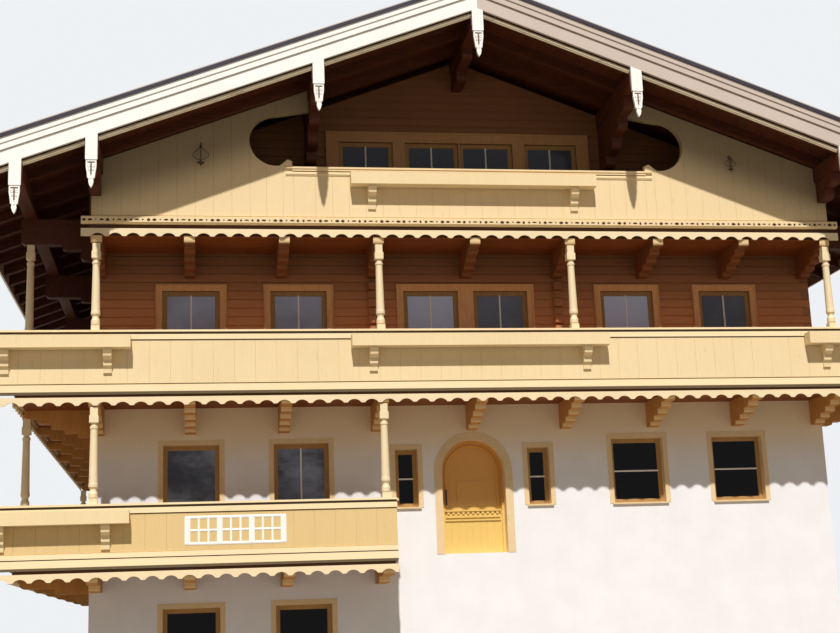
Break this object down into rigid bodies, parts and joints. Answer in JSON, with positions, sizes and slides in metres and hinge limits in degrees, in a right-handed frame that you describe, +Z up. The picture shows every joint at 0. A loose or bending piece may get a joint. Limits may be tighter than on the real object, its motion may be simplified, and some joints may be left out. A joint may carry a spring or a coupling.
{
  "type": "alpine chalet",
  "caption": "Alpine chalet: plastered lower storeys, log storey with carved wrap-around balconies, boarded gable with a loggia, wide low roof, and an arched front door that opens.",
  "frame": {"origin": "centre of the rectangle that the whole building covers, on the level of the lower storey's floor", "axes": "+Z up, +X along the entrance front to the right of someone facing it, the front faces -Y"},
  "size_m": [18.9, 18.25, 13.615],
  "materials": {
    "plaster": "matte painted plaster",
    "concrete": "plain concrete",
    "dark_logs": "oiled red-brown logs",
    "honey_boards": "glazed honey boards",
    "pale_boards": "cream painted boards",
    "brown_timber": "oiled brown timber",
    "floor_boards": "plain boards",
    "ochre_joinery": "stained joinery",
    "door_wood": "varnished boards",
    "roof_covering": "dark grey roof covering",
    "painted_bands": "painted plaster bands",
    "grey_metal": "weathered sheet metal",
    "dark_iron": "black iron",
    "window_glass": "clear double glazing"
  },
  "bodies": {
    "house": {"lower_wall_front": "plaster", "lower_wall_back": "plaster", "lower_wall_left": "plaster", "lower_wall_right": "plaster", "entrance_wall_left_part": "plaster", "entrance_wall_right_part": "plaster", "entrance_wall_over_door": "plaster", "first_wall_back": "plaster", "first_wall_left": "plaster", "first_wall_right": "plaster", "log_wall_front": "dark_logs", "log_wall_back": "dark_logs", "log_wall_left": "dark_logs", "log_wall_right": "dark_logs", "attic_wall": "dark_logs", "knee_walls": "dark_logs", "gable_boards_front": "honey_boards", "gable_boards_back": "honey_boards", "ground_slab": "concrete", "first_floor": "floor_boards", "second_floor": "floor_boards", "attic_floor": "floor_boards", "balcony_decks": "brown_timber", "lower_balcony_parapets": "honey_boards", "upper_balcony_parapets": "honey_boards", "gable_fascia": "honey_boards", "valances": "pale_boards", "corbels": "honey_boards", "posts": "pale_boards", "purlins": "brown_timber", "purlin_corbels": "brown_timber", "purlin_pendants": "pale_boards", "rafters": "brown_timber", "roof_left": "roof_covering", "roof_right": "roof_covering", "bargeboards": "pale_boards", "verge_flashings": "grey_metal", "window_frames": "ochre_joinery", "window_glass": "window_glass", "window_casings": "ochre_joinery", "painted_surrounds": "painted_bands", "door_frame": "ochre_joinery", "flower_boxes": "honey_boards"},
    "front_door": {"front_door": "door_wood", "door_handle": "dark_iron"}
  },
  "joints": [
    {"name": "front_door_hinge", "type": "hinge", "parent": "house", "child": "front_door", "pos_m": [0.606, -6.273, 3], "axis": [0, 0, -1], "range_deg": [0, 100]}
  ]
}
